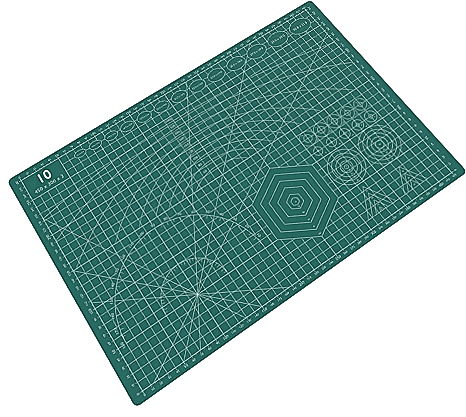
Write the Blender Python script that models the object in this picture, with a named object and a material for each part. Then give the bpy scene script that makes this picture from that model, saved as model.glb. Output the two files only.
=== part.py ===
"""Craft cutting mat, 450 x 300 x 3 mm: five bonded PVC plies under a screen-printed measuring grid.

The mat lies flat, with its long side along X and its origin at the middle of its underside.
The print is laid in three passes of ink, one just above the other, so that lines of one pass
never have to be joined to lines of another. Places in the print are counted in squares of the
grid, from its front left corner unless a name says otherwise.
"""

from math import acos, asin, ceil, cos, pi, radians, sin, sqrt

import bmesh
import bpy
import numpy as np
from mathutils import Vector
from mathutils.geometry import delaunay_2d_cdt

MM = 0.001

# The mat's outline and its plies, bottom to top
MAT_LENGTH = 450 * MM
MAT_WIDTH = 300 * MM
CORNER_RADIUS = 6 * MM
BOTTOM_FACE_PLY = 0.40 * MM
LOWER_HEALING_PLY = 0.70 * MM
RIGID_CORE_PLY = 0.72 * MM
UPPER_HEALING_PLY = 0.70 * MM
TOP_FACE_PLY = 0.40 * MM
BOND_LINE = 0.02 * MM
EASED_EDGE = 0.12 * MM
EASED_EDGE_STEPS = 2
ROUND_PROFILE = 0.5
CORNER_STEPS = 6

# The grid, and how far off the middle of the mat the print was registered
SQUARE = 10 * MM
SIDE_MARGIN = 15 * MM
FRONT_MARGIN = 10 * MM
PRINT_LEFT_SHIFT = 0.7 * MM
PRINT_FRONT_SHIFT = 0.1 * MM
BOLD_EVERY = 5
MIDDLE_ROW = 15
PANEL_COLUMNS = 5
PANEL_ROWS = 3

# The ink
INK_FILM = 0.03 * MM
INK_CLEARANCE = 0.01 * MM
FINE_LINE = 0.36 * MM
BOLD_LINE = 0.56 * MM
FIGURE_LINE = 0.45 * MM
RULER_TICK = 2.3 * MM

# Protractor, with lines at its marked angles that run on to the border
PROTRACTOR_COLUMN = 10
PROTRACTOR_ROW = 5
PROTRACTOR_RADIUS = 90 * MM
INNER_PROTRACTOR_RADIUS = 40 * MM
DEGREE_TICK = 3.8 * MM
TICK_DEGREES = 10
ANGLE_LINES = (30, 45, 60, 120, 135, 150)

# Radius arcs, the smallest first, all about one column
ARC_COLUMN = 20
ARC_RADII = (60 * MM, 80 * MM, 100 * MM, 120 * MM, 150 * MM, 200 * MM, 300 * MM, 500 * MM, 1000 * MM)
FIRST_ARC_RISE = 13.2 * MM
ARC_SPACING = 10 * MM

# Nested hexagons, by their corner radius, placed from the right border. The lines of the grid
# stop at the widest.
HEXAGON_COLUMN_FROM_RIGHT = 17
HEXAGON_ROW = 7.5
SMALLEST_HEXAGON = 5 * MM
HEXAGON_STEP = 10 * MM
HEXAGON_STEPS = 5

# Circle template, by diameter: two rows, growing to the right in the lower one and back to the
# left in the upper one
CIRCLE_COLUMNS_FROM_RIGHT = (11, 9, 7, 5, 3)
LOWER_CIRCLE_ROW = 11
UPPER_CIRCLE_ROW = 13
SMALLEST_CIRCLE = 11 * MM
CIRCLE_GROWTH = 1 * MM

# Ring template, by radius: a set of odd and a set of even rings, each about one centre
RING_ROW = 7.5
ODD_COLUMN_FROM_RIGHT = 9.5
EVEN_COLUMN_FROM_RIGHT = 4.5
SMALLEST_RING = 2.5 * MM
RING_STEP = 5 * MM
RINGS_IN_A_SET = 5

# Nested equal-sided triangles, by height, standing on one grid line below the rings
TRIANGLE_BASE_ROW = 1
SMALLEST_TRIANGLE = 5 * MM
TRIANGLE_STEP = 10 * MM
ODD_TRIANGLES = 4
EVEN_TRIANGLES = 3

# Ellipse template along the back border, from the panel to the right border
ELLIPSE_COUNT = 13
ELLIPSE_DROP = 5.2 * MM
ELLIPSE_LEFT_GAP = 17 * MM
ELLIPSE_RIGHT_GAP = 6 * MM
FIRST_ELLIPSE_LENGTH = 15 * MM
FIRST_ELLIPSE_HEIGHT = 9 * MM
ELLIPSE_GROWTH = 1 * MM
LONG_ELLIPSE_GROWTH = 1.75 * MM
EVEN_ELLIPSES = 7

# Colours and roughness of the sheets and the ink
FACE_VINYL = (0.034, 0.146, 0.122)
HEALING_VINYL = (0.024, 0.112, 0.094)
CORE_VINYL = (0.050, 0.120, 0.108)
INK = (0.62, 0.80, 0.76)
FACE_ROUGHNESS = 0.62
HEALING_ROUGHNESS = 0.58
CORE_ROUGHNESS = 0.50
INK_ROUGHNESS = 0.55

# How far a curve's facets may stray from it, and how far lines that meet run into each other
FACET_ERROR = 0.28 * MM
JOIN = 0.2 * MM

# Points closer than this are one point, and a turn smaller than this is none
WELD = 0.0002 * MM
CORNER_WELD = 0.00002 * MM
STRAIGHT = 1e-4

# The triangulation's output that covers all that its points span
WHOLE_HULL = 0


def clear_scene():
    for obj in list(bpy.data.objects):
        bpy.data.objects.remove(obj)


def make_material(name, colour, roughness):
    material = bpy.data.materials.new(name)
    material.use_nodes = True
    shader = material.node_tree.nodes["Principled BSDF"]
    shader.inputs["Base Color"].default_value = (*colour, 1)
    shader.inputs["Roughness"].default_value = roughness
    shader.inputs["Metallic"].default_value = 0
    return material


def add_object(name, bm, material):
    mesh = bpy.data.meshes.new(name)
    bm.to_mesh(mesh)
    bm.free()
    mesh.materials.append(material)
    obj = bpy.data.objects.new(name, mesh)
    bpy.context.scene.collection.objects.link(obj)
    return obj


def mat_outline():
    """The die-cut outline, anticlockwise, with a round at each corner."""
    points = []
    corners = ((1, 1), (-1, 1), (-1, -1), (1, -1))
    for number, (side_x, side_y) in enumerate(corners):
        centre_x = side_x * (MAT_LENGTH / 2 - CORNER_RADIUS)
        centre_y = side_y * (MAT_WIDTH / 2 - CORNER_RADIUS)
        for step in range(CORNER_STEPS + 1):
            angle = (number + step / CORNER_STEPS) * pi / 2
            x = centre_x + CORNER_RADIUS * cos(angle)
            y = centre_y + CORNER_RADIUS * sin(angle)
            points.append((x, y))
    return points


def add_ply(name, bottom, thickness, material, eased=None):
    """One sheet of the laminate. Its outer rim is eased at the top or the bottom face."""
    bm = bmesh.new()
    base = bm.faces.new([bm.verts.new((x, y, 0)) for x, y in mat_outline()])
    grown = bmesh.ops.extrude_face_region(bm, geom=[base])["geom"]
    lifted = [item for item in grown if isinstance(item, bmesh.types.BMVert)]
    bmesh.ops.translate(bm, verts=lifted, vec=(0, 0, thickness))
    bmesh.ops.recalc_face_normals(bm, faces=bm.faces)
    if eased:
        height = thickness if eased == "top" else 0
        rim = [edge for edge in bm.edges if all(abs(v.co.z - height) < WELD for v in edge.verts)]
        bmesh.ops.bevel(
            bm,
            geom=rim,
            offset=EASED_EDGE,
            segments=EASED_EDGE_STEPS,
            profile=ROUND_PROFILE,
            affect="EDGES",
        )
    ply = add_object(name, bm, material)
    ply.location.z = bottom
    return ply


def grid_count(size, margin):
    return round((size - 2 * margin) / SQUARE)


COLUMNS = grid_count(MAT_LENGTH, SIDE_MARGIN)
ROWS = grid_count(MAT_WIDTH, FRONT_MARGIN)
GRID_LENGTH = COLUMNS * SQUARE
GRID_WIDTH = ROWS * SQUARE
MIDDLE_LINE = MIDDLE_ROW * SQUARE


def strip(points, width, closed=False):
    """Quads along a centre line, mitred where it turns, each anticlockwise."""
    points = [Vector(p) for p in points]
    count = len(points)
    left, right = [], []
    for i, here in enumerate(points):
        before = points[i - 1] if closed or i else None
        after = points[(i + 1) % count] if closed or i < count - 1 else None
        into = (here - before).normalized() if before is not None else (after - here).normalized()
        out = (after - here).normalized() if after is not None else into
        along = (into + out).normalized()
        across = Vector((-along.y, along.x)) * width / 2 / along.dot(into)
        left.append(here + across)
        right.append(here - across)
    runs = count if closed else count - 1
    quads = []
    for i in range(runs):
        j = (i + 1) % count
        quads.append((right[i], right[j], left[j], left[i]))
    return quads


def line(start, end, width):
    return strip((start, end), width)


def curve_steps(radius, angle):
    """How many facets a round of this radius and angle needs to stay within FACET_ERROR."""
    widest = 2 * acos(1 - FACET_ERROR / radius)
    return ceil(abs(angle) / widest)


def arc_points(centre, radius, start, end):
    steps = curve_steps(radius, end - start)
    angles = [start + (end - start) * i / steps for i in range(steps + 1)]
    return [(centre[0] + radius * cos(a), centre[1] + radius * sin(a)) for a in angles]


def ellipse_points(centre, half_length, half_height):
    steps = curve_steps(half_length, 2 * pi)
    angles = [2 * pi * (i + 0.5) / steps for i in range(steps)]
    return [(centre[0] + half_length * cos(a), centre[1] + half_height * sin(a)) for a in angles]


def ring(centre, radius):
    return strip(ellipse_points(centre, radius, radius), FIGURE_LINE, closed=True)


def hexagon_points(centre, radius):
    angles = [pi / 2 + i * pi / 3 for i in range(6)]
    return [(centre[0] + radius * cos(a), centre[1] + radius * sin(a)) for a in angles]


def line_width(number, last):
    return BOLD_LINE if number % BOLD_EVERY == 0 or number == last else FINE_LINE


def rectangle(left, front, right, back):
    return (Vector((left, front)), Vector((right, front)), Vector((right, back)), Vector((left, back)))


def panel_area():
    """The corner that is left clear of lines, inside the lines that bound it."""
    inset = BOLD_LINE / 2
    right = PANEL_COLUMNS * SQUARE - inset
    front = GRID_WIDTH - PANEL_ROWS * SQUARE + inset
    return rectangle(inset, front, right, GRID_WIDTH - inset)


def outside_areas():
    """All that lies beyond the border, as four overlapping rectangles."""
    far = MAT_LENGTH + MAT_WIDTH
    edge = BOLD_LINE / 2
    return [
        rectangle(-far, -far, far, -edge),
        rectangle(-far, GRID_WIDTH + edge, far, far),
        rectangle(-far, -far, -edge, far),
        rectangle(GRID_LENGTH + edge, -far, far, far),
    ]


def hexagon_centre():
    return ((COLUMNS - HEXAGON_COLUMN_FROM_RIGHT) * SQUARE, HEXAGON_ROW * SQUARE)


def hexagon_area():
    inner = HEXAGON_STEPS * HEXAGON_STEP - FIGURE_LINE / sqrt(3)
    return [Vector(p) for p in hexagon_points(hexagon_centre(), inner)]


def ellipse_sizes():
    """Length and height of each ellipse, growing to the right."""
    sizes = []
    length = FIRST_ELLIPSE_LENGTH
    for i in range(ELLIPSE_COUNT):
        sizes.append((length, FIRST_ELLIPSE_HEIGHT + i * ELLIPSE_GROWTH))
        length += ELLIPSE_GROWTH if i < EVEN_ELLIPSES else LONG_ELLIPSE_GROWTH
    return sizes


def ellipse_places():
    """Centre, half length and half height of each ellipse, with even gaps between them."""
    sizes = ellipse_sizes()
    left = PANEL_COLUMNS * SQUARE + ELLIPSE_LEFT_GAP
    room = GRID_LENGTH - ELLIPSE_RIGHT_GAP - left
    gap = (room - sum(length for length, _ in sizes)) / (ELLIPSE_COUNT - 1)
    top = GRID_WIDTH - ELLIPSE_DROP
    places = []
    for length, height in sizes:
        places.append(((left + length / 2, top - height / 2), length / 2, height / 2))
        left += length + gap
    return places


def ellipse_areas():
    edge = FIGURE_LINE / 2
    return [
        [Vector(p) for p in ellipse_points(centre, half_length - edge, half_height - edge)]
        for centre, half_length, half_height in ellipse_places()
    ]


def upright(x, width):
    """A line up the mat that runs past both borders, as the ticks of their rulers."""
    return line((x, -RULER_TICK), (x, GRID_WIDTH + RULER_TICK), width)


def crossline(y, width):
    return line((-RULER_TICK, y), (GRID_LENGTH + RULER_TICK, y), width)


def uprights():
    """Lines up the mat, held together by the front and back borders and the middle line."""
    quads = []
    for column in range(1, COLUMNS):
        quads += upright(column * SQUARE, line_width(column, COLUMNS))
    for y in (0, MIDDLE_LINE, GRID_WIDTH):
        quads += crossline(y, BOLD_LINE)
    return quads


def crosslines():
    """Lines along the mat, held together by the left and right borders."""
    quads = []
    for row in range(1, ROWS):
        if row != MIDDLE_ROW:
            quads += crossline(row * SQUARE, line_width(row, ROWS))
    for x in (0, GRID_LENGTH):
        quads += upright(x, BOLD_LINE)
    return quads


def ellipse_outlines():
    quads = []
    for centre, half_length, half_height in ellipse_places():
        points = ellipse_points(centre, half_length, half_height)
        quads += strip(points, FIGURE_LINE, closed=True)
    return quads


def circle_template():
    quads = []
    rows = (
        (LOWER_CIRCLE_ROW, CIRCLE_COLUMNS_FROM_RIGHT),
        (UPPER_CIRCLE_ROW, CIRCLE_COLUMNS_FROM_RIGHT[::-1]),
    )
    diameter = SMALLEST_CIRCLE
    for row, columns in rows:
        for from_right in columns:
            quads += ring(((COLUMNS - from_right) * SQUARE, row * SQUARE), diameter / 2)
            diameter += CIRCLE_GROWTH
    return quads


def ring_centre(column_from_right):
    return ((COLUMNS - column_from_right) * SQUARE, RING_ROW * SQUARE)


def ring_template():
    """All rings but the smallest, which no grid line touches."""
    quads = []
    for i in range(1, RINGS_IN_A_SET):
        quads += ring(ring_centre(ODD_COLUMN_FROM_RIGHT), SMALLEST_RING + i * RING_STEP)
    for i in range(RINGS_IN_A_SET):
        quads += ring(ring_centre(EVEN_COLUMN_FROM_RIGHT), (i + 1) * RING_STEP)
    return quads


def template_triangle(column_from_right, height):
    """Two slanting sides: the grid line that they stand on is the base."""
    x = (COLUMNS - column_from_right) * SQUARE
    base = TRIANGLE_BASE_ROW * SQUARE
    half = height / sqrt(3)
    return strip(((x - half, base), (x, base + height), (x + half, base)), FIGURE_LINE)


def triangle_template():
    quads = []
    for i in range(ODD_TRIANGLES):
        quads += template_triangle(ODD_COLUMN_FROM_RIGHT, SMALLEST_TRIANGLE + i * TRIANGLE_STEP)
    for i in range(EVEN_TRIANGLES):
        quads += template_triangle(EVEN_COLUMN_FROM_RIGHT, (i + 1) * TRIANGLE_STEP)
    return quads


def hexagon(radius):
    return strip(hexagon_points(hexagon_centre(), radius), FIGURE_LINE, closed=True)


def protractor_centre():
    return (PROTRACTOR_COLUMN * SQUARE, PROTRACTOR_ROW * SQUARE)


def protractor():
    """Two half circles with ticks inside them, standing on the grid line through their centre."""
    centre = protractor_centre()
    quads = []
    for radius in (PROTRACTOR_RADIUS, INNER_PROTRACTOR_RADIUS):
        quads += strip(arc_points(centre, radius, 0, pi), FIGURE_LINE)
        for degrees in range(TICK_DEGREES, 180, TICK_DEGREES):
            if degrees not in ANGLE_LINES:
                quads += spoke(radians(degrees), radius - DEGREE_TICK, radius, FINE_LINE)
    return quads


def spoke(angle, start, end, width):
    x, y = protractor_centre()
    direction = (cos(angle), sin(angle))
    points = [(x + r * direction[0], y + r * direction[1]) for r in (start, end)]
    return line(*points, width)


def reach_to_border(point, direction):
    """How far a line from this point runs before it meets the border."""
    sides = []
    for place, slope, size in zip(point, direction, (GRID_LENGTH, GRID_WIDTH)):
        if abs(slope) > STRAIGHT:
            sides.append(max(-place / slope, (size - place) / slope))
    return min(sides)


def angle_lines():
    centre = protractor_centre()
    quads = []
    for degrees in ANGLE_LINES:
        for angle in (radians(degrees), radians(degrees) + pi):
            reach = reach_to_border(centre, (cos(angle), sin(angle)))
            quads += spoke(angle, -JOIN, reach, FIGURE_LINE)
    return quads


def radius_arcs():
    """Arcs from the middle line or a side border, over the top and down to the other."""
    x = ARC_COLUMN * SQUARE
    quads = []
    for number, radius in enumerate(ARC_RADII):
        top = MIDDLE_LINE + FIRST_ARC_RISE + number * ARC_SPACING
        centre = (x, top - radius)
        down = acos(max(-1, (MIDDLE_LINE - centre[1]) / radius))
        left = asin(min(1, x / radius))
        right = asin(min(1, (GRID_LENGTH - x) / radius))
        start = pi / 2 - min(down, right)
        end = pi / 2 + min(down, left)
        quads += strip(arc_points(centre, radius, start, end), FIGURE_LINE)
    return quads


def lies_in(spots, shapes):
    """Which of these spots lie in any of the shapes, each convex and anticlockwise."""
    found = np.zeros(len(spots), bool)
    for shape in shapes:
        corners = np.array(shape)
        within = np.ones(len(spots), bool)
        for corner, side in zip(corners, np.roll(corners, -1, axis=0) - corners):
            away = spots - corner
            within &= side[0] * away[:, 1] > side[1] * away[:, 0]
        found |= within
    return found


def inked_triangles(lines, outlines, clearings):
    """Triangles that cover all lines and outlines in one flat sheet, less the cleared areas."""
    points, edges = [], []
    for shape in (*lines, *outlines, *clearings):
        first = len(points)
        points += shape
        edges += [(first + i, first + (i + 1) % len(shape)) for i in range(len(shape))]
    found = delaunay_2d_cdt(points, edges, [], WHOLE_HULL, WELD)
    places, triangles = found[0], [tuple(corners) for corners in found[2]]
    middles = np.array(places)[np.array(triangles)].mean(axis=1)
    on_line = lies_in(middles, lines) & ~lies_in(middles, clearings)
    inked = on_line | lies_in(middles, outlines)
    return places, [corners for corners, keep in zip(triangles, inked) if keep]


def edges_of(triangle):
    a, b, c = triangle
    return (a, b), (b, c), (c, a)


def spread(seeds, triangles, walls=()):
    """The numbers of all triangles reached from the seeds over shared edges that aren't walls."""
    by_edge = {}
    for number, triangle in enumerate(triangles):
        for edge in edges_of(triangle):
            by_edge[edge] = number
    reached = set(seeds)
    waiting = list(seeds)
    while waiting:
        for a, b in edges_of(triangles[waiting.pop()]):
            other = by_edge.get((b, a))
            if other is None or other in reached or (a, b) in walls or (b, a) in walls:
                continue
            reached.add(other)
            waiting.append(other)
    return reached


def largest_patch(triangles):
    """The triangles that hang together by their edges: stubs cut off by a clearing go."""
    unseen = set(range(len(triangles)))
    widest = set()
    while unseen:
        patch = spread([min(unseen)], triangles)
        unseen -= patch
        if len(patch) > len(widest):
            widest = patch
    return [triangles[number] for number in sorted(widest)]


def outline_of(triangles):
    """The directed edges round the inked area, with the ink on their left."""
    edges = {edge for triangle in triangles for edge in edges_of(triangle)}
    return {(a, b) for a, b in edges if (b, a) not in edges}


def is_straight(before, here, after):
    into, out = here - before, after - here
    turn = into.x * out.y - into.y * out.x
    return abs(turn) < STRAIGHT * into.length * out.length and into.dot(out) > 0


def corners_only(places, outline):
    """The same outline without the points that lie along its straight runs."""
    following, preceding = {}, {}
    for a, b in sorted(outline):
        following.setdefault(a, []).append(b)
        preceding.setdefault(b, []).append(a)
    for here in sorted(following):
        if len(following[here]) != 1 or len(preceding[here]) != 1:
            continue
        before, after = preceding[here][0], following[here][0]
        if is_straight(places[before], places[here], places[after]):
            following[before][following[before].index(here)] = after
            preceding[after][preceding[after].index(here)] = before
            del following[here], preceding[here]
    return [(a, b) for a in sorted(following) for b in following[a]]


def plain_triangles(places, triangles):
    """The same area again, with a corner only where its outline has one."""
    outline = corners_only(places, outline_of(triangles))
    kept = sorted({corner for edge in outline for corner in edge})
    number = {corner: i for i, corner in enumerate(kept)}
    edges = [(number[a], number[b]) for a, b in outline]
    found = delaunay_2d_cdt([places[i] for i in kept], edges, [], WHOLE_HULL, CORNER_WELD)
    corners, drawn, sources = found[0], [tuple(t) for t in found[2]], found[3]
    moved = {old: new for new, olds in enumerate(sources) for old in olds}
    walls = {(moved[a], moved[b]) for a, b in edges}
    seeds = [i for i, triangle in enumerate(drawn) if walls.intersection(edges_of(triangle))]
    return corners, [drawn[i] for i in sorted(spread(seeds, drawn, walls))]


def film(places, triangles, thickness):
    """A closed film of ink of one thickness over flat triangles."""
    bm = bmesh.new()
    used = sorted({corner for triangle in triangles for corner in triangle})
    low = {i: bm.verts.new((places[i].x, places[i].y, 0)) for i in used}
    high = {i: bm.verts.new((places[i].x, places[i].y, thickness)) for i in used}
    for a, b, c in triangles:
        bm.faces.new((high[a], high[b], high[c]))
        bm.faces.new((low[c], low[b], low[a]))
    for a, b in sorted(outline_of(triangles)):
        bm.faces.new((low[a], low[b], high[b], high[a]))
    return bm


def add_print(name, level, lines, outlines, clearings, material):
    """One pass of ink, laid at its level over the top face and registered on the mat."""
    places, triangles = inked_triangles(lines, outlines, clearings)
    places, triangles = plain_triangles(places, largest_patch(triangles))
    printed = add_object(name, film(places, triangles, INK_FILM), material)
    printed.location = (
        -GRID_LENGTH / 2 - PRINT_LEFT_SHIFT,
        -GRID_WIDTH / 2 - PRINT_FRONT_SHIFT,
        mat_thickness() + INK_CLEARANCE + level * (INK_FILM + INK_CLEARANCE),
    )
    return printed


def ply_stack():
    """Each ply's name, thickness and eased rim, bottom to top."""
    return (
        ("bottom_face_ply", BOTTOM_FACE_PLY, "bottom"),
        ("lower_healing_ply", LOWER_HEALING_PLY, None),
        ("rigid_core_ply", RIGID_CORE_PLY, None),
        ("upper_healing_ply", UPPER_HEALING_PLY, None),
        ("top_face_ply", TOP_FACE_PLY, "top"),
    )


def mat_thickness():
    stack = ply_stack()
    return sum(thickness for _, thickness, _ in stack) + BOND_LINE * (len(stack) - 1)


def add_plies():
    face = make_material("green_face_vinyl", FACE_VINYL, FACE_ROUGHNESS)
    healing = make_material("green_healing_vinyl", HEALING_VINYL, HEALING_ROUGHNESS)
    core = make_material("grey_green_core_vinyl", CORE_VINYL, CORE_ROUGHNESS)
    materials = (face, healing, core, healing, face)
    bottom = 0
    for (name, thickness, eased), material in zip(ply_stack(), materials):
        add_ply(name, bottom, thickness, material, eased)
        bottom += thickness + BOND_LINE


def add_grid_print(ink):
    cleared = [panel_area(), hexagon_area(), *ellipse_areas()]
    add_print("print_uprights", 0, uprights(), [], cleared, ink)
    outlines = [
        *ellipse_outlines(),
        *hexagon(HEXAGON_STEPS * HEXAGON_STEP),
        *circle_template(),
        *ring_template(),
        *triangle_template(),
    ]
    add_print("print_crosslines", 1, crosslines(), outlines, cleared, ink)


def add_lone_prints(ink):
    """Figures that no grid line touches. A hexagon is named by its number from the middle."""
    radii = [SMALLEST_HEXAGON] + [i * HEXAGON_STEP for i in range(1, HEXAGON_STEPS)]
    for number, radius in enumerate(radii, 1):
        add_print(f"print_hexagon_{number}", 1, [], hexagon(radius), [], ink)
    smallest = ring(ring_centre(ODD_COLUMN_FROM_RIGHT), SMALLEST_RING)
    add_print("print_smallest_ring", 1, [], smallest, [], ink)


def add_arc_print(ink):
    cleared = [panel_area(), *ellipse_areas(), *outside_areas()]
    figures = [*radius_arcs(), *angle_lines(), *protractor()]
    add_print("print_arcs_and_angles", 2, figures, [], cleared, ink)


def main():
    clear_scene()
    ink = make_material("mint_white_ink", INK, INK_ROUGHNESS)
    add_plies()
    add_grid_print(ink)
    add_lone_prints(ink)
    add_arc_print(ink)


main()
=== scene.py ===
"""The looks of a craft cutting mat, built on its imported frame.

Lengths are in metres, in the frame's axes: X along the mat, Y across it and Z up from its underside.
The print is a set of thin films of ink at levels of their own. Places in it are counted from the
front left corner of its grid, which the frame gives.
"""

from math import acos, asin, ceil, cos, pi, radians, sin, sqrt

import bmesh
import bpy
import numpy as np
from mathutils import Matrix, Vector
from mathutils.geometry import delaunay_2d_cdt


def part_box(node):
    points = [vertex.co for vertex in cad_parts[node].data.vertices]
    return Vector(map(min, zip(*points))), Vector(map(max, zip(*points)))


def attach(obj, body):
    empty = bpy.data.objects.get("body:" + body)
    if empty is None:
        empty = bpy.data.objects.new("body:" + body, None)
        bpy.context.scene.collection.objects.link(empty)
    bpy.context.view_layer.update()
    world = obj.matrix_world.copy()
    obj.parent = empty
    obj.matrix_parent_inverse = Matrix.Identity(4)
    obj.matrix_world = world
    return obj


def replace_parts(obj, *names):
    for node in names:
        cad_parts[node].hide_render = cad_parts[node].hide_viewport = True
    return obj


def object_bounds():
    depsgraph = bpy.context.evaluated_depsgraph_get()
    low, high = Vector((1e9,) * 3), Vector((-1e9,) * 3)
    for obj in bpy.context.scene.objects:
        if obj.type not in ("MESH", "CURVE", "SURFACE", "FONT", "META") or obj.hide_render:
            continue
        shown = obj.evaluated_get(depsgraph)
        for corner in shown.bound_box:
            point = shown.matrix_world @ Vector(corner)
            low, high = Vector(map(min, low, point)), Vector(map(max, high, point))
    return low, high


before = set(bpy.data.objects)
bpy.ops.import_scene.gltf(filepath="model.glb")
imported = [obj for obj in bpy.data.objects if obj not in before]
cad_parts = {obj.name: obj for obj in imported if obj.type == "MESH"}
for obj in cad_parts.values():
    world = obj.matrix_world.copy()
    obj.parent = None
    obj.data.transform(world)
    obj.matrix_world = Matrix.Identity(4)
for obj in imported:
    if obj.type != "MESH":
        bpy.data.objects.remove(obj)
cad_low, cad_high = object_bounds()

MM = 0.001

# The plies, which are cut together: their corners, and the eased edges of the two faces
CORNER_RADIUS = 6 * MM
CORNER_STEPS = 24
FACE_EASE = 0.12 * MM
EASE_STEPS = 3

# The grid, its bare panel, and the ticks outside it and along its two middle lines
SQUARE = 10 * MM
BOLD_EVERY = 5
MIDDLE_ROW = 15
MIDDLE_COLUMN = 20
PANEL_COLUMNS = 5
PANEL_ROWS = 3
RULER_TICK = 2.3 * MM
HALF_TICK = 1.5 * MM
MIDDLE_TICK = 1.5 * MM

# Widths of the lines
FINE_LINE = 0.20 * MM
BOLD_LINE = 0.30 * MM
FIGURE_LINE = 0.22 * MM

# The ink, whose films lie at these levels
INK_FILM = 0.012 * MM
LEVEL_STEP = 0.018 * MM
GRID_LEVEL = 0
FIGURE_LEVEL = 1
ARC_LEVEL = 2
ANGLE_LEVEL = 3
PROTRACTOR_LEVEL = 4
NUMBER_LEVEL = 5

# Protractor and the lines through its centre, with all angles in degrees
PROTRACTOR_COLUMN = 10
PROTRACTOR_ROW = 5
PROTRACTOR_RADII = (90 * MM, 40 * MM)
HALF_TURN = 180
TICK_EVERY = 5
LONG_TICK_EVERY = 10
SHORT_TICK = 3 * MM
LONG_TICK = 4 * MM
ANGLE_LINES = (30, 45, 60, 120, 135, 150)

# Radius arcs, the smallest first
ARC_COLUMN = 20
ARC_RADII = (60 * MM, 80 * MM, 100 * MM, 120 * MM, 150 * MM, 200 * MM, 300 * MM, 500 * MM, 1000 * MM)
FIRST_ARC_RISE = 13.2 * MM
ARC_SPACING = 10 * MM
ARC_END_GAP = 1 * MM

# Nested hexagons, by corner radius
HEXAGON_COLUMN_FROM_RIGHT = 17
HEXAGON_ROW = 7.5
HEXAGON_RADII = (5 * MM, 10 * MM, 20 * MM, 30 * MM, 40 * MM, 50 * MM)

# Circle template, by diameter, in two rows
CIRCLE_COLUMNS_FROM_RIGHT = (11, 9, 7, 5, 3)
LOWER_CIRCLE_ROW = 11
UPPER_CIRCLE_ROW = 13
SMALLEST_OUTER_CIRCLE = 11 * MM
SMALLEST_INNER_CIRCLE = 1 * MM
CIRCLE_GROWTH = 1 * MM

# Ring template, by radius, and the triangles below it, by height
RING_ROW = 7.5
ODD_COLUMN_FROM_RIGHT = 9.5
EVEN_COLUMN_FROM_RIGHT = 4.5
SMALLEST_RING = 2.5 * MM
RING_STEP = 5 * MM
RINGS_IN_A_SET = 5
TRIANGLE_BASE_ROW = 1
SMALLEST_TRIANGLE = 5 * MM
TRIANGLE_STEP = 10 * MM
ODD_TRIANGLES = 4
EVEN_TRIANGLES = 3

# Ellipse template along the back border, whose first few grow as much in length as in height
ELLIPSE_COUNT = 13
ELLIPSE_DROP = 5.2 * MM
ELLIPSE_LEFT_GAP = 17 * MM
ELLIPSE_RIGHT_GAP = 6 * MM
FIRST_ELLIPSE_LENGTH = 15 * MM
FIRST_ELLIPSE_HEIGHT = 9 * MM
ELLIPSE_GROWTH = 1 * MM
LATER_LENGTH_GROWTH = 1.75 * MM
EVEN_ELLIPSES = 7

# How numbers are drawn. A weight is how far the outlines are swollen, in the font's own units
DIGIT_HEIGHT_IN_FONT = 0.682
DIGIT_SPACING = 1.06
DIGIT_CURVE_STEPS = 3
LARGE_CURVE_STEPS = 12
LARGE_NUMBER = 5 * MM
LIGHT = -0.020
PLAIN = 0.0
BOLD = 0.008

# Heights and places of the numbers. The height of an ellipse's is a share of its length
RULER_NUMBER = 2.2 * MM
RULER_BOLD_NUMBER = 2.8 * MM
FRONT_NUMBER_GAP = 4.35 * MM
BACK_NUMBER_GAP = 4.3 * MM
LEFT_NUMBER_GAP = 5.25 * MM
RIGHT_NUMBER_GAP = 5.7 * MM
DEGREE_NUMBER = 3.1 * MM
DEGREE_NUMBER_RADIUS = 94 * MM
NUMBER_CLEARANCE = 0.4 * MM
ARC_NUMBER = 2.9 * MM
ARC_NUMBER_COLUMN = 18.5
ARC_NUMBER_RISE = 3.8 * MM
SMALL_NUMBER = 1.6 * MM
HEXAGON_NUMBER_RISE = 4.2 * MM
RING_NUMBER_RISE = 2.2 * MM
TRIANGLE_NUMBER_DROP = 6.6 * MM
ELLIPSE_NUMBER_SHARE = 0.1
PANEL_NUMBER = "10"
PANEL_NUMBER_HEIGHT = 11.4 * MM
PANEL_NUMBER_PLACE = (24.7 * MM, 269.2 * MM)
PANEL_LINE_HEIGHT = 4.3 * MM
PANEL_LINE_PLACE = (25.6 * MM, 257.0 * MM)

# Circle numbers: which way from the centre the inner one stands in each row, and how far right of the
# centre and below it the outer one stands, with shares of the outer diameter added
CIRCLE_NUMBER = 1.5 * MM
UPPER_ROW_DIRECTION = radians(118)
LOWER_ROW_DIRECTION = radians(-40)
BESIDE_CIRCLE = 3.4 * MM
BELOW_CIRCLE = 5.6 * MM
BESIDE_GROWTH = 0.25
BELOW_GROWTH = 0.125

# How far a curve's facets may stray from it
FACET_ERROR = 0.02 * MM

# Points closer than this are one point, and the triangulation's output that covers all of them
WELD = 0.0002 * MM
WHOLE_HULL = 0

# A line that leans less than this towards a border never meets it
STRAIGHT = 1e-4

# Camera: its place over the mat, its turn in degrees, its lens, and how near it sees
CAMERA_PLACE = (-99.8 * MM, -162.3 * MM, 495.9 * MM)
CAMERA_TURN = (17.0, 1.32, -34.33)
CAMERA_LENS = 34.72
CAMERA_SENSOR = 36.0
CAMERA_NEAREST = 10 * MM

# Colours and finishes
FACE_GREEN = (0.0045, 0.0935, 0.0775)
HEALING_GREEN = (0.018, 0.098, 0.083)
CORE_GREEN = (0.042, 0.116, 0.102)
INK_MINT = (0.385, 0.595, 0.589)
FLOOR_WHITE = (0.95, 0.95, 0.95)
WHITE = (1, 1, 1, 1)
FACE_ROUGHNESS = 0.62
HEALING_ROUGHNESS = 0.58
CORE_ROUGHNESS = 0.50
INK_ROUGHNESS = 0.55
FLOOR_ROUGHNESS = 0.9
VINYL_SPECULAR = 0.20
INK_SPECULAR = 0.30
FLOOR_SPECULAR = 0.2

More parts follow.
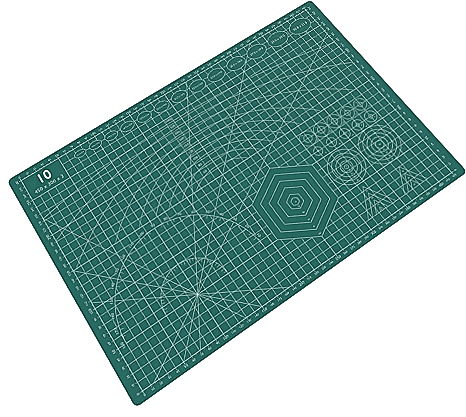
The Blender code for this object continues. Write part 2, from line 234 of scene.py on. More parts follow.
# Unevenness: how large and how deep its features are, and how far they shift the tone or the roughness
GRAIN_SIZE = 0.35 * MM
GRAIN_DEPTH = 0.02 * MM
GRAIN_TONE = 0.08
GRAIN_ROUGHNESS = 0.06
PEEL_SIZE = 1.3 * MM
PEEL_DEPTH = 0.035 * MM
PATCH_SIZE = 5 * MM
PATCH_TONE = 0.05
MOTTLE_SIZE = 60 * MM
MOTTLE_TONE = 0.03
STREAK_SIZE = 0.5 * MM
STREAK_TONE = 0.08
STREAK_STRETCH = (1, 1, 0.1)
INK_TONE = 0.03
INK_GRAIN_DEPTH = 0.01 * MM
FLOOR_PATCH_SIZE = 300 * MM
FLOOR_TONE = 0.005

# Noise: its detail, and the middle and reach of the values that it usually has
NOISE_DETAIL = 2.0
NOISE_MIDDLE = 0.5
NOISE_REACH = 0.2

# The stage and its lights, turned in degrees
FLOOR_SIZE = 12.0
FLOOR_GAP = 0.2 * MM
SKY_TOP = 0.35
SKY_EDGE = 1.25
SKY_EVEN_BELOW = 0.2
SKY_STRAIGHT_UP = 1.0
KEY_TURN = (48, 0, -40)
KEY_STRENGTH = 2.36
FILL_TURN = (55, 0, 130)
FILL_STRENGTH = 0.9
SOFTNESS = 50

# The camera's own sharpening of lightness, the most that it darkens, and the gamma of tones as seen
SHARPENING = 1.0
DARKEST_HALO = 0.25
EYE_GAMMA = 2.2

# The frame's own places
grid_low, grid_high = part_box("print_uprights")
ORIGIN_X = grid_low.x + RULER_TICK
ORIGIN_Y = grid_low.y + RULER_TICK
LOWEST_INK = grid_low.z
GRID_LENGTH = grid_high.x - RULER_TICK - ORIGIN_X
GRID_WIDTH = grid_high.y - RULER_TICK - ORIGIN_Y
COLUMNS = round(GRID_LENGTH / SQUARE)
ROWS = round(GRID_WIDTH / SQUARE)
MIDDLE_LINE = MIDDLE_ROW * SQUARE


# Outlines in the plane


def strip(points, width, closed=False):
    """Quads along a centre line, mitred where it turns, each anticlockwise."""
    points = [Vector(p) for p in points]
    count = len(points)
    left, right = [], []
    for i, here in enumerate(points):
        before = points[i - 1] if closed or i else None
        after = points[(i + 1) % count] if closed or i < count - 1 else None
        into = (here - before).normalized() if before is not None else (after - here).normalized()
        out = (after - here).normalized() if after is not None else into
        along = (into + out).normalized()
        across = Vector((-along.y, along.x)) * width / 2 / along.dot(into)
        left.append(here + across)
        right.append(here - across)
    quads = []
    for i in range(count if closed else count - 1):
        j = (i + 1) % count
        quads.append((right[i], right[j], left[j], left[i]))
    return quads


def line(start, end, width):
    return strip((start, end), width)


def polar(centre, radius, angle):
    return (centre[0] + radius * cos(angle), centre[1] + radius * sin(angle))


def curve_steps(radius, angle):
    """How many facets a round of this radius and angle needs to stay within FACET_ERROR."""
    return ceil(abs(angle) / (2 * acos(1 - FACET_ERROR / radius)))


def arc_points(centre, radius, start, end):
    steps = curve_steps(radius, end - start)
    angles = [start + (end - start) * i / steps for i in range(steps + 1)]
    return [polar(centre, radius, angle) for angle in angles]


def ellipse_points(centre, half_length, half_height):
    steps = curve_steps(half_length, 2 * pi)
    angles = [2 * pi * (i + 0.5) / steps for i in range(steps)]
    return [(centre[0] + half_length * cos(a), centre[1] + half_height * sin(a)) for a in angles]


def ring(centre, radius):
    return strip(ellipse_points(centre, radius, radius), FIGURE_LINE, closed=True)


def hexagon_points(centre, radius):
    angles = [pi / 2 + i * pi / 3 for i in range(6)]
    return [polar(centre, radius, angle) for angle in angles]


def rectangle(left, front, right, back):
    return (Vector((left, front)), Vector((right, front)), Vector((right, back)), Vector((left, back)))


def line_width(number, last):
    return BOLD_LINE if number % BOLD_EVERY == 0 or number == last else FINE_LINE


def from_right(column):
    return (COLUMNS - column) * SQUARE


def lies_in(spots, shapes):
    """Which of these spots lie in any of the shapes, each convex and anticlockwise."""
    found = np.zeros(len(spots), bool)
    for shape in shapes:
        corners = np.array(shape)
        within = np.ones(len(spots), bool)
        for corner, side in zip(corners, np.roll(corners, -1, axis=0) - corners):
            away = spots - corner
            within &= side[0] * away[:, 1] > side[1] * away[:, 0]
        found |= within
    return found


def covered(lines, cleared=()):
    """Points and triangles that cover all these convex shapes once, less the cleared ones."""
    points, edges = [], []
    for shape in (*lines, *cleared):
        first = len(points)
        points += shape
        edges += [(first + i, first + (i + 1) % len(shape)) for i in range(len(shape))]
    places, _, faces, *_ = delaunay_2d_cdt(points, edges, [], WHOLE_HULL, WELD)
    middles = np.array(places)[np.array(faces)].mean(axis=1)
    inked = lies_in(middles, lines) & ~lies_in(middles, cleared)
    return places, [tuple(corners) for corners, keep in zip(faces, inked) if keep]


# Pieces


def add_film(name, level, places, triangles, material):
    """A closed film of ink over flat triangles, laid on the mat at its level."""
    low_z = LOWEST_INK + level * LEVEL_STEP
    high_z = low_z + INK_FILM
    bm = bmesh.new()
    low, high = {}, {}
    for i in sorted({corner for triangle in triangles for corner in triangle}):
        x, y = ORIGIN_X + places[i][0], ORIGIN_Y + places[i][1]
        low[i] = bm.verts.new((x, y, low_z))
        high[i] = bm.verts.new((x, y, high_z))
    edges = set()
    for a, b, c in triangles:
        bm.faces.new((high[a], high[b], high[c]))
        bm.faces.new((low[c], low[b], low[a]))
        edges.update(((a, b), (b, c), (c, a)))
    for a, b in sorted(edges):
        if (b, a) not in edges:
            bm.faces.new((low[a], low[b], high[b], high[a]))
    return add_piece(name, bm, material)


def add_piece(name, bm, material):
    mesh = bpy.data.meshes.new(name)
    bm.to_mesh(mesh)
    bm.free()
    mesh.materials.append(material)
    piece = bpy.data.objects.new(name, mesh)
    bpy.context.scene.collection.objects.link(piece)
    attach(piece, "root")
    return piece


# The lines of the print


def panel_area():
    """The corner that is left clear of lines, inside the lines that bound it."""
    inset = BOLD_LINE / 2
    front = GRID_WIDTH - PANEL_ROWS * SQUARE + inset
    return rectangle(inset, front, PANEL_COLUMNS * SQUARE - inset, GRID_WIDTH - inset)


def outside_areas():
    """All that lies beyond the border, as four overlapping rectangles."""
    far = 2 * GRID_LENGTH
    edge = BOLD_LINE / 2
    return [
        rectangle(-far, -far, far, -edge),
        rectangle(-far, GRID_WIDTH + edge, far, far),
        rectangle(-far, -far, -edge, far),
        rectangle(GRID_LENGTH + edge, -far, far, far),
    ]


def hexagon_centre():
    return (from_right(HEXAGON_COLUMN_FROM_RIGHT), HEXAGON_ROW * SQUARE)


def hexagon_area():
    inner = HEXAGON_RADII[-1] - FIGURE_LINE / sqrt(3)
    return [Vector(p) for p in hexagon_points(hexagon_centre(), inner)]


def ellipse_sizes():
    """Length and height of each ellipse, growing to the right."""
    sizes = []
    length = FIRST_ELLIPSE_LENGTH
    for i in range(ELLIPSE_COUNT):
        sizes.append((length, FIRST_ELLIPSE_HEIGHT + i * ELLIPSE_GROWTH))
        length += ELLIPSE_GROWTH if i < EVEN_ELLIPSES else LATER_LENGTH_GROWTH
    return sizes


def ellipse_places():
    """Centre, half length and half height of each ellipse, with even gaps between them."""
    sizes = ellipse_sizes()
    left = PANEL_COLUMNS * SQUARE + ELLIPSE_LEFT_GAP
    room = GRID_LENGTH - ELLIPSE_RIGHT_GAP - left
    gap = (room - sum(length for length, _ in sizes)) / (ELLIPSE_COUNT - 1)
    top = GRID_WIDTH - ELLIPSE_DROP
    places = []
    for length, height in sizes:
        places.append(((left + length / 2, top - height / 2), length / 2, height / 2))
        left += length + gap
    return places


def ellipse_areas():
    edge = FIGURE_LINE / 2
    return [
        [Vector(p) for p in ellipse_points(centre, half_length - edge, half_height - edge)]
        for centre, half_length, half_height in ellipse_places()
    ]


def uprights():
    """Lines up the mat, which run past both borders as the ticks of their rulers."""
    quads = []
    for column in range(COLUMNS + 1):
        x = column * SQUARE
        quads += line((x, -RULER_TICK), (x, GRID_WIDTH + RULER_TICK), line_width(column, COLUMNS))
    return quads


def crosslines():
    quads = []
    for row in range(ROWS + 1):
        y = row * SQUARE
        quads += line((-RULER_TICK, y), (GRID_LENGTH + RULER_TICK, y), line_width(row, ROWS))
    return quads


def half_ticks():
    """Ticks midway between the lines, outside the borders and along the two middle lines."""
    quads = []
    for column in range(COLUMNS):
        x = (column + 0.5) * SQUARE
        quads += line((x, -HALF_TICK), (x, 0), FINE_LINE)
        quads += line((x, GRID_WIDTH), (x, GRID_WIDTH + HALF_TICK), FINE_LINE)
        quads += line((x, MIDDLE_LINE - MIDDLE_TICK), (x, MIDDLE_LINE), FINE_LINE)
    for row in range(ROWS):
        y = (row + 0.5) * SQUARE
        quads += line((-HALF_TICK, y), (0, y), FINE_LINE)
        quads += line((GRID_LENGTH, y), (GRID_LENGTH + HALF_TICK, y), FINE_LINE)
        if row < MIDDLE_ROW:
            x = MIDDLE_COLUMN * SQUARE
            quads += line((x - MIDDLE_TICK, y), (x, y), FINE_LINE)
    return quads


def protractor_centre():
    return (PROTRACTOR_COLUMN * SQUARE, PROTRACTOR_ROW * SQUARE)


def protractor():
    """Two half circles with ticks inside them."""
    centre = protractor_centre()
    quads = []
    for radius in PROTRACTOR_RADII:
        quads += strip(arc_points(centre, radius, 0, pi), FIGURE_LINE)
        for degrees in range(TICK_EVERY, HALF_TURN, TICK_EVERY):
            tick = SHORT_TICK if degrees % LONG_TICK_EVERY else LONG_TICK
            ends = [polar(centre, r, radians(degrees)) for r in (radius - tick, radius)]
            quads += line(*ends, FINE_LINE)
    return quads


def reach_to_border(point, direction):
    """How far a line from this point runs before it meets the border."""
    sides = []
    for place, lean, size in zip(point, direction, (GRID_LENGTH, GRID_WIDTH)):
        if abs(lean) > STRAIGHT:
            sides.append(max(-place / lean, (size - place) / lean))
    return min(sides)


def angle_lines():
    """Lines through the protractor's centre, from border to border."""
    centre = protractor_centre()
    quads = []
    for angle in (radians(degrees) for degrees in ANGLE_LINES):
        forth = reach_to_border(centre, (cos(angle), sin(angle)))
        back = reach_to_border(centre, (-cos(angle), -sin(angle)))
        quads += line(polar(centre, -back, angle), polar(centre, forth, angle), FIGURE_LINE)
    return quads


def arc_centres():
    """Centre and radius of each radius arc."""
    x = ARC_COLUMN * SQUARE
    for number, radius in enumerate(ARC_RADII):
        top = MIDDLE_LINE + FIRST_ARC_RISE + number * ARC_SPACING
        yield (x, top - radius), radius


def radius_arcs():
    """Arcs from just above the middle line, or a side border, over the top and down again."""
    quads = []
    for centre, radius in arc_centres():
        down = acos(max(-1, (MIDDLE_LINE + ARC_END_GAP - centre[1]) / radius))
        left = asin(min(1, centre[0] / radius))
        right = asin(min(1, (GRID_LENGTH - centre[0]) / radius))
        start, end = pi / 2 - min(down, right), pi / 2 + min(down, left)
        quads += strip(arc_points(centre, radius, start, end), FIGURE_LINE)
    return quads


def circles():
    """Centre, outer diameter and inner diameter of each circle of the template, and its row."""
    rows = (
        (LOWER_CIRCLE_ROW, CIRCLE_COLUMNS_FROM_RIGHT),
        (UPPER_CIRCLE_ROW, CIRCLE_COLUMNS_FROM_RIGHT[::-1]),
    )
    growth = 0
    for row, columns in rows:
        for column in columns:
            centre = (from_right(column), row * SQUARE)
            yield centre, SMALLEST_OUTER_CIRCLE + growth, SMALLEST_INNER_CIRCLE + growth, row
            growth += CIRCLE_GROWTH


def circle_template():
    quads = []
    for centre, outer, inner, _ in circles():
        quads += ring(centre, outer / 2) + ring(centre, inner / 2)
    return quads


def rings():
    """Centre and radius of each ring, the odd set and then the even set."""
    for column, first in ((ODD_COLUMN_FROM_RIGHT, SMALLEST_RING), (EVEN_COLUMN_FROM_RIGHT, RING_STEP)):
        for i in range(RINGS_IN_A_SET):
            yield (from_right(column), RING_ROW * SQUARE), first + i * RING_STEP


def ring_template():
    return [quad for centre, radius in rings() for quad in ring(centre, radius)]


def triangles():
    """Middle of the base and height of each triangle."""
    base = TRIANGLE_BASE_ROW * SQUARE
    for i in range(ODD_TRIANGLES):
        yield (from_right(ODD_COLUMN_FROM_RIGHT), base), SMALLEST_TRIANGLE + i * TRIANGLE_STEP
    for i in range(EVEN_TRIANGLES):
        yield (from_right(EVEN_COLUMN_FROM_RIGHT), base), (i + 1) * TRIANGLE_STEP


def triangle_template():
    quads = []
    for (x, base), height in triangles():
        half = height / sqrt(3)
        quads += strip(((x - half, base), (x, base + height), (x + half, base)), FIGURE_LINE)
    return quads


def hexagon_template():
    quads = []
    for radius in HEXAGON_RADII:
        quads += strip(hexagon_points(hexagon_centre(), radius), FIGURE_LINE, closed=True)
    return quads


def ellipse_template():
    quads = []
    for centre, half_length, half_height in ellipse_places():
        quads += strip(ellipse_points(centre, half_length, half_height), FIGURE_LINE, closed=True)
    return quads


# The numbers, and the grounds left clear for some of them


def degree_places():
    """Each degree number, its centre and its turn: its foot is towards the protractor's centre."""
    for degrees in range(LONG_TICK_EVERY, HALF_TURN + 1, LONG_TICK_EVERY):
        angle = radians(degrees)
        yield degrees, polar(protractor_centre(), DEGREE_NUMBER_RADIUS, angle), angle - pi / 2


def number_ground(text, centre, height, turn, foot):
    """The area that is left clear round a number, from this far below its centre."""
    half_length = number_length(text, height) / 2 + NUMBER_CLEARANCE
    corners = rectangle(-half_length, -foot, half_length, height / 2 + NUMBER_CLEARANCE)
    turned = Matrix.Rotation(turn, 2)
    return [turned @ corner + Vector(centre) for corner in corners]


def degree_grounds():
    """The clear areas of the degree numbers, which reach in to the outer half circle."""
    foot = DEGREE_NUMBER_RADIUS - PROTRACTOR_RADII[0] - FIGURE_LINE / 2
    return [
        number_ground(str(degrees), centre, DEGREE_NUMBER, turn, foot)
        for degrees, centre, turn in degree_places()
    ]


def arc_number_grounds():
    """The clear areas of the arcs' numbers, which reach as far below a number as above it."""
    foot = ARC_NUMBER / 2 + NUMBER_CLEARANCE
    return [
        number_ground(text, centre, height, turn, foot)
        for text, centre, height, turn, _ in arc_numbers()
    ]


def number_length(text, height):
    across = [x for corners in text_shape(text, PLAIN, DIGIT_CURVE_STEPS) for x, _ in corners]
    return (max(across) - min(across)) * height


def text_shape(text, weight, steps):
    """The anticlockwise triangles that fill a text one unit high, centred on the origin."""
    curve = bpy.data.curves.new("text", "FONT")
    curve.body = text
    curve.align_x = "CENTER"
    curve.offset = weight
    curve.space_character = DIGIT_SPACING
    curve.resolution_u = steps
    holder = bpy.data.objects.new("text", curve)
    mesh = bpy.data.meshes.new_from_object(holder)
    tall = DIGIT_HEIGHT_IN_FONT
    points = [(vertex.co.x / tall, vertex.co.y / tall - 0.5) for vertex in mesh.vertices]
    order = 1 if mesh.polygons[0].normal.z > 0 else -1
    shape = [[points[i] for i in face.vertices][::order] for face in mesh.polygons]
    bpy.data.objects.remove(holder)
    bpy.data.curves.remove(curve)
    bpy.data.meshes.remove(mesh)
    return shape


def add_numbers(name, numbers, material):
    """All numbers of one kind as one film. Each is its text, centre, height, turn and weight."""
    places, triangles = [], []
    for text, centre, height, turn, weight in numbers:
        steps = LARGE_CURVE_STEPS if height > LARGE_NUMBER else DIGIT_CURVE_STEPS
        turned = Matrix.Rotation(turn, 2) * height
        placed = [
            [turned @ Vector(point) + Vector(centre) for point in corners]
            for corners in text_shape(text, weight, steps)
        ]
        points, found = covered(placed)
        first = len(places)
        places += points
        triangles += [tuple(first + i for i in corners) for corners in found]
    add_film(name, NUMBER_LEVEL, places, triangles, material)


def label(length, centre, height, turn=0):
    """A number that gives a length in whole millimetres."""
    return str(round(length / MM)), centre, height, turn, LIGHT


def ruler_height(number):
    return RULER_NUMBER if number % BOLD_EVERY else RULER_BOLD_NUMBER


def ruler_numbers():
    numbers = []
    for column in range(COLUMNS + 1):
        x = column * SQUARE
        for y in (-FRONT_NUMBER_GAP, GRID_WIDTH + BACK_NUMBER_GAP):
            numbers.append(label(x, (x, y), ruler_height(column)))
    for row in range(ROWS + 1):
        y = row * SQUARE
        for x, turn in ((-LEFT_NUMBER_GAP, pi / 2), (GRID_LENGTH + RIGHT_NUMBER_GAP, -pi / 2)):
            numbers.append(label(y, (x, y), ruler_height(row), turn))
    return numbers


def degree_numbers():
    return [
        (str(degrees), centre, DEGREE_NUMBER, turn, LIGHT)
        for degrees, centre, turn in degree_places()
    ]


def arc_numbers():
    """The arcs' radii, each above its arc."""
    numbers = []
    x = ARC_NUMBER_COLUMN * SQUARE
    for centre, radius in arc_centres():
        y = centre[1] + sqrt(radius ** 2 - (x - centre[0]) ** 2) + ARC_NUMBER_RISE
        numbers.append(label(radius, (x, y), ARC_NUMBER))
    return numbers


def hexagon_numbers():
    """The hexagons' widths from corner to corner, each over the lowest corner of its own line."""
    numbers = []
    x, y = hexagon_centre()
    for inner, radius in zip((-HEXAGON_RADII[0], *HEXAGON_RADII), HEXAGON_RADII):
        # At least halfway out from the next line in, which for the smallest is its own far corner
        drop = max((inner + radius) / 2, radius - HEXAGON_NUMBER_RISE)
        numbers.append(label(2 * radius, (x, y - drop), SMALL_NUMBER))
    return numbers


def ring_numbers():
    """The rings' diameters, each over the lowest point of its ring, or in the middle of a small one."""
    numbers = []
    for (x, y), radius in rings():
        drop = radius - RING_NUMBER_RISE if radius > RING_STEP else 0
        numbers.append(label(2 * radius, (x, y - drop), SMALL_NUMBER))
    return numbers


def triangle_numbers():
    """The triangles' heights, each under the tip of its triangle, or in the middle of a small one."""
    numbers = []
    for (x, base), height in triangles():
        rise = max(height / 3, height - TRIANGLE_NUMBER_DROP)
        numbers.append(label(height, (x, base + rise), SMALL_NUMBER))
    return numbers


def circle_numbers():
    """Both diameters of each circle: the inner halfway between the circles, the outer beside them."""
    numbers = []
    for centre, outer, inner, row in circles():
        direction = UPPER_ROW_DIRECTION if row == UPPER_CIRCLE_ROW else LOWER_ROW_DIRECTION
        between = polar(centre, (outer + inner) / 4, direction)
        x = centre[0] + outer * BESIDE_GROWTH + BESIDE_CIRCLE
        y = centre[1] - outer * BELOW_GROWTH - BELOW_CIRCLE
        numbers += [label(inner, between, CIRCLE_NUMBER), label(outer, (x, y), CIRCLE_NUMBER)]
    return numbers


def ellipse_numbers():
    """The length and height of each ellipse, in its middle."""
    numbers = []
    for centre, half_length, half_height in ellipse_places():
        text = f"{2 * half_length / MM:.1f} x {2 * half_height / MM:.1f}"
        numbers.append((text, centre, 2 * half_length * ELLIPSE_NUMBER_SHARE, 0, LIGHT))
    return numbers


def panel_numbers():
    """A large plain number over the mat's own measures."""
    measures = " x ".join(str(round(side / MM)) for side in cad_high - cad_low)
    return [
        (PANEL_NUMBER, PANEL_NUMBER_PLACE, PANEL_NUMBER_HEIGHT, 0, BOLD),
        (measures, PANEL_LINE_PLACE, PANEL_LINE_HEIGHT, 0, LIGHT),
    ]


# The whole print


def add_lines(ink):
    """All the lines on the top face."""
    cleared = [panel_area(), *ellipse_areas()]
    grounds = degree_grounds()
    grid = [*uprights(), *crosslines(), *half_ticks()]
    grid_clear = [*cleared, hexagon_area(), *grounds]
    grid_film = add_film("grid_lines", GRID_LEVEL, *covered(grid, grid_clear), ink)
    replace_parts(grid_film, "print_uprights", "print_crosslines")
    figures = (
        ("ellipse_lines", ellipse_template()),
        ("circle_lines", circle_template()),
        ("ring_lines", ring_template()),
        ("triangle_lines", triangle_template()),
        ("hexagon_lines", hexagon_template()),
    )
    films = {name: add_film(name, FIGURE_LEVEL, *covered(quads), ink) for name, quads in figures}
    # In the solids a figure that touches the grid is one film with the crosslines
    for film in films.values():
        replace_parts(film, "print_crosslines")
    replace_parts(films["ring_lines"], "print_smallest_ring")
    for number in range(1, len(HEXAGON_RADII)):
        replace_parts(films["hexagon_lines"], f"print_hexagon_{number}")
    outside = [*cleared, *outside_areas()]
    long_lines = (
        ("arc_lines", ARC_LEVEL, radius_arcs(), outside),
        ("angle_lines", ANGLE_LEVEL, angle_lines(), [*outside, *grounds, *arc_number_grounds()]),
        ("protractor_lines", PROTRACTOR_LEVEL, protractor(), ()),
    )
    for name, level, quads, clear in long_lines:
        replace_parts(add_film(name, level, *covered(quads, clear), ink), "print_arcs_and_angles")


def add_all_numbers(ink):
    kinds = (
        ("ruler_numbers", ruler_numbers()),
        ("degree_numbers", degree_numbers()),
        ("arc_numbers", arc_numbers()),
        ("hexagon_numbers", hexagon_numbers()),
        ("ring_numbers", ring_numbers()),
        ("triangle_numbers", triangle_numbers()),
        ("circle_numbers", circle_numbers()),
        ("ellipse_numbers", ellipse_numbers()),
        ("panel_numbers", panel_numbers()),
    )
    for name, numbers in kinds:
        add_numbers(name, numbers, ink)


# Materials


class Shader:
    """A material's node tree, with its Principled shader and short ways to add to it."""

    def __init__(self, name, colour, roughness, specular):
        self.material = bpy.data.materials.new(name)
        self.material.use_nodes = True
        self.tree = self.material.node_tree
        self.surface = self.tree.nodes["Principled BSDF"]
        self.surface.inputs["Base Color"].default_value = (*colour, 1)
        self.surface.inputs["Roughness"].default_value = roughness
        self.surface.inputs["Specular IOR Level"].default_value = specular
        self.places = self.tree.nodes.new("ShaderNodeTexCoord").outputs["Object"]

    def link(self, source, target):
        self.tree.links.new(source, target)

    def noise(self, size, stretch=(1, 1, 1)):
        """Noise whose features are about this size, drawn out along an axis by a small stretch."""
        mapping = self.tree.nodes.new("ShaderNodeMapping")
        mapping.inputs["Scale"].default_value = stretch
        self.link(self.places, mapping.inputs["Vector"])
        texture = self.tree.nodes.new("ShaderNodeTexNoise")
        texture.inputs["Scale"].default_value = 1 / size
        texture.inputs["Detail"].default_value = NOISE_DETAIL
        self.link(mapping.outputs["Vector"], texture.inputs["Vector"])
        return texture.outputs["Fac"]

    def spread(self, noise, reach, middle=1.0):
        """A noise's usual range stretched to run this far either side of a middle value."""
        ramp = self.tree.nodes.new("ShaderNodeMapRange")
        ramp.inputs["From Min"].default_value = NOISE_MIDDLE - NOISE_REACH
        ramp.inputs["From Max"].default_value = NOISE_MIDDLE + NOISE_REACH
        ramp.inputs["To Min"].default_value = middle - reach
        ramp.inputs["To Max"].default_value = middle + reach
        self.link(noise, ramp.inputs["Value"])
        return ramp.outputs["Result"]

    def vary_colour(self, colour, factors):
        """Scales the colour by each of the factors in turn."""
        source = None
        for factor in factors:
            mix = self.tree.nodes.new("ShaderNodeVectorMath")
            mix.operation = "SCALE"
            mix.inputs[0].default_value = colour
            if source is not None:
                self.link(source, mix.inputs[0])
            self.link(factor, mix.inputs["Scale"])
            source = mix.outputs["Vector"]
        self.link(source, self.surface.inputs["Base Color"])

    def emboss(self, *reliefs):
        """Bumps the surface by each relief, given as its noise and its depth, one on the other."""
        normal = None
        for noise, depth in reliefs:
            bump = self.tree.nodes.new("ShaderNodeBump")
            bump.inputs["Distance"].default_value = depth
            self.link(noise, bump.inputs["Height"])
            if normal is not None:
                self.link(normal, bump.inputs["Normal"])
            normal = bump.outputs["Normal"]
        self.link(normal, self.surface.inputs["Normal"])


def face_vinyl():
    """Matte PVC with a fine grain over a soft peel, a little uneven in tone."""
    shader = Shader("face_vinyl", FACE_GREEN, FACE_ROUGHNESS, VINYL_SPECULAR)
    grain = shader.noise(GRAIN_SIZE)
    tones = (
        shader.spread(grain, GRAIN_TONE),
        shader.spread(shader.noise(PATCH_SIZE), PATCH_TONE),
        shader.spread(shader.noise(MOTTLE_SIZE), MOTTLE_TONE),
    )
    shader.vary_colour(FACE_GREEN, tones)
    roughness = shader.spread(grain, GRAIN_ROUGHNESS, FACE_ROUGHNESS)
    shader.link(roughness, shader.surface.inputs["Roughness"])
    shader.emboss((shader.noise(PEEL_SIZE), PEEL_DEPTH), (grain, GRAIN_DEPTH))
    return shader.material


def cut_vinyl(name, colour, roughness):
    """The cut edge of an inner sheet, with fine streaks down it from the blade."""
    shader = Shader(name, colour, roughness, VINYL_SPECULAR)
    streaks = shader.noise(STREAK_SIZE, STREAK_STRETCH)
    shader.vary_colour(colour, (shader.spread(streaks, STREAK_TONE),))
    shader.emboss((streaks, GRAIN_DEPTH))
    return shader.material


def ink_film():
    """Matte ink, a little uneven in density, that follows the grain of the vinyl."""
    shader = Shader("ink", INK_MINT, INK_ROUGHNESS, INK_SPECULAR)
    grain = shader.noise(GRAIN_SIZE)
    tones = (shader.spread(grain, INK_TONE), shader.spread(shader.noise(PATCH_SIZE), INK_TONE))
    shader.vary_colour(INK_MINT, tones)
    shader.emboss((grain, INK_GRAIN_DEPTH))
    return shader.material


def floor_paint():
    shader = Shader("floor", FLOOR_WHITE, FLOOR_ROUGHNESS, FLOOR_SPECULAR)
    shader.vary_colour(FLOOR_WHITE, (shader.spread(shader.noise(FLOOR_PATCH_SIZE), FLOOR_TONE),))
    return shader.material


# The plies


def outline(low, high, inset):
    """A ply's outline with rounded corners, anticlockwise and this far inside its sides."""
    points = []
    radius = CORNER_RADIUS - inset
    for number, (side_x, side_y) in enumerate(((1, 1), (-1, 1), (-1, -1), (1, -1))):
        x = (high.x if side_x > 0 else low.x) - side_x * CORNER_RADIUS
        y = (high.y if side_y > 0 else low.y) - side_y * CORNER_RADIUS
        for step in range(CORNER_STEPS + 1):
            points.append(polar((x, y), radius, (number + step / CORNER_STEPS) * pi / 2))
    return points


def edge_profile(low_z, high_z, low_ease, high_ease):
    """Insets and heights up a ply's cut edge, with a quarter round at an eased face."""
    profile = []
    for z, ease, way, steps in (
        (low_z, low_ease, 1, range(EASE_STEPS, -1, -1)),
        (high_z, high_ease, -1, range(EASE_STEPS + 1)),
    ):
        if not ease:
            profile.append((0, z))
            continue
        for step in steps:
            angle = step / EASE_STEPS * pi / 2
            profile.append((ease * (1 - cos(angle)), z + way * ease * (1 - sin(angle))))
    return profile


def add_ply(node, material, low_ease=0, high_ease=0):
    """A ply in place of its plain solid: the same sheet with finer corners and eased faces."""
    low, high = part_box(node)
    bm = bmesh.new()
    levels = []
    for inset, z in edge_profile(low.z, high.z, low_ease, high_ease):
        levels.append([bm.verts.new((x, y, z)) for x, y in outline(low, high, inset)])
    count = len(levels[0])
    for below, above in zip(levels, levels[1:]):
        for i in range(count):
            j = (i + 1) % count
            side = bm.faces.new((below[i], below[j], above[j], above[i]))
            side.smooth = True
    bm.faces.new(levels[0][::-1])
    bm.faces.new(levels[-1])
    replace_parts(add_piece(node.replace("_ply", "_sheet"), bm, material), node)


def add_plies():
    face = face_vinyl()
    healing = cut_vinyl("healing_vinyl", HEALING_GREEN, HEALING_ROUGHNESS)
    core = cut_vinyl("core_vinyl", CORE_GREEN, CORE_ROUGHNESS)
    add_ply("bottom_face_ply", face, low_ease=FACE_EASE)
    add_ply("lower_healing_ply", healing)
    add_ply("rigid_core_ply", core)
    add_ply("upper_healing_ply", healing)
    add_ply("top_face_ply", face, high_ease=FACE_EASE)


# The stage, the lights, the camera and its sharpening


def add_floor():
    mesh = bpy.data.meshes.new("floor")
    half = FLOOR_SIZE / 2
    corners = [(x, y, 0) for x, y in ((-half, -half), (half, -half), (half, half), (-half, half))]
    mesh.from_pydata(corners, [], [(0, 1, 2, 3)])
    mesh.materials.append(floor_paint())
    floor = bpy.data.objects.new("floor", mesh)
    floor.location.z = cad_low.z - FLOOR_GAP
    bpy.context.scene.collection.objects.link(floor)


def add_sun(name, turn, strength):
    light = bpy.data.lights.new(name, "SUN")
    light.energy = strength
    light.angle = radians(SOFTNESS)
    holder = bpy.data.objects.new(name, light)
    holder.rotation_euler = [radians(angle) for angle in turn]
    bpy.context.scene.collection.objects.link(holder)


def add_sky():
    """A studio's even surround: pale at the height of the eye, darker overhead."""
    world = bpy.data.worlds.new("studio")
    bpy.context.scene.world = world
    world.use_nodes = True
    tree = world.node_tree
    background = tree.nodes["Background"]
    places = tree.nodes.new("ShaderNodeTexCoord")
    split = tree.nodes.new("ShaderNodeSeparateXYZ")
    ramp = tree.nodes.new("ShaderNodeMapRange")
    ramp.inputs["From Min"].default_value = SKY_EVEN_BELOW
    ramp.inputs["From Max"].default_value = SKY_STRAIGHT_UP
    ramp.inputs["To Min"].default_value = SKY_EDGE
    ramp.inputs["To Max"].default_value = SKY_TOP
    tree.links.new(places.outputs["Generated"], split.inputs["Vector"])
    tree.links.new(split.outputs["Z"], ramp.inputs["Value"])
    tree.links.new(ramp.outputs["Result"], background.inputs["Strength"])
    background.inputs["Color"].default_value = WHITE


def add_camera():
    camera = bpy.data.cameras.new("camera")
    camera.sensor_width = CAMERA_SENSOR
    camera.lens = CAMERA_LENS
    camera.clip_start = CAMERA_NEAREST
    holder = bpy.data.objects.new("camera", camera)
    holder.location = CAMERA_PLACE
    holder.rotation_euler = [radians(angle) for angle in CAMERA_TURN]
    bpy.context.scene.collection.objects.link(holder)
    bpy.context.scene.camera = holder


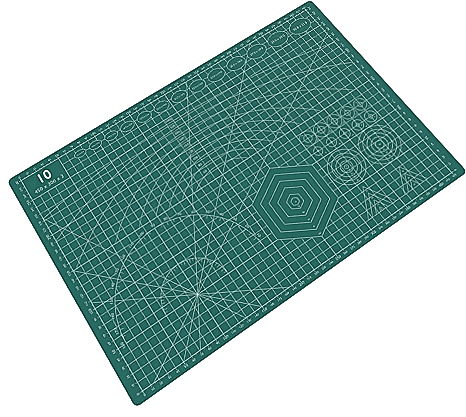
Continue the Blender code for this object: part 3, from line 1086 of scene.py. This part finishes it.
def gamma_node(tree, source, gamma):
    """A picture's tones raised to a power."""
    node = tree.nodes.new("CompositorNodeGamma")
    node.inputs["Gamma"].default_value = gamma
    tree.links.new(source, node.inputs["Image"])
    return node.outputs["Image"]


def mix_node(tree, way, first, second=None):
    """Two pictures mixed in this way, or one picture with white."""
    node = tree.nodes.new("CompositorNodeMixRGB")
    node.blend_type = way
    tree.links.new(first, node.inputs[1])
    if second is None:
        node.inputs[2].default_value = WHITE
    else:
        tree.links.new(second, node.inputs[2])
    return node.outputs["Image"]


def sharpening_of(tree, picture):
    """What sharpening adds to a picture's lightness, with a limit to how much it takes away."""
    lightness = tree.nodes.new("CompositorNodeRGBToBW")
    tree.links.new(picture, lightness.inputs["Image"])
    sharpen = tree.nodes.new("CompositorNodeFilter")
    sharpen.filter_type = "SHARPEN_DIAMOND"
    sharpen.inputs["Fac"].default_value = SHARPENING
    tree.links.new(lightness.outputs["Val"], sharpen.inputs["Image"])
    change = tree.nodes.new("CompositorNodeMath")
    change.operation = "SUBTRACT"
    tree.links.new(sharpen.outputs["Image"], change.inputs[0])
    tree.links.new(lightness.outputs["Val"], change.inputs[1])
    limit = tree.nodes.new("CompositorNodeMath")
    limit.operation = "MAXIMUM"
    limit.inputs[1].default_value = -DARKEST_HALO
    tree.links.new(change.outputs["Value"], limit.inputs[0])
    return limit.outputs["Value"]


def add_sharpening():
    """Caps the light at white and sharpens the lightness but not the colour, as many cameras do."""
    scene = bpy.context.scene
    scene.use_nodes = True
    tree = scene.node_tree
    recorded = mix_node(tree, "DARKEN", tree.nodes["Render Layers"].outputs["Image"])
    seen = gamma_node(tree, recorded, 1 / EYE_GAMMA)
    sharpened = mix_node(tree, "ADD", seen, sharpening_of(tree, seen))
    light = gamma_node(tree, sharpened, EYE_GAMMA)
    tree.links.new(light, tree.nodes["Composite"].inputs["Image"])


def main():
    add_plies()
    ink = ink_film()
    add_lines(ink)
    add_all_numbers(ink)
    add_floor()
    add_sky()
    add_sun("key_light", KEY_TURN, KEY_STRENGTH)
    add_sun("fill_light", FILL_TURN, FILL_STRENGTH)
    add_camera()
    add_sharpening()
    bpy.context.scene.view_settings.view_transform = "Standard"


main()
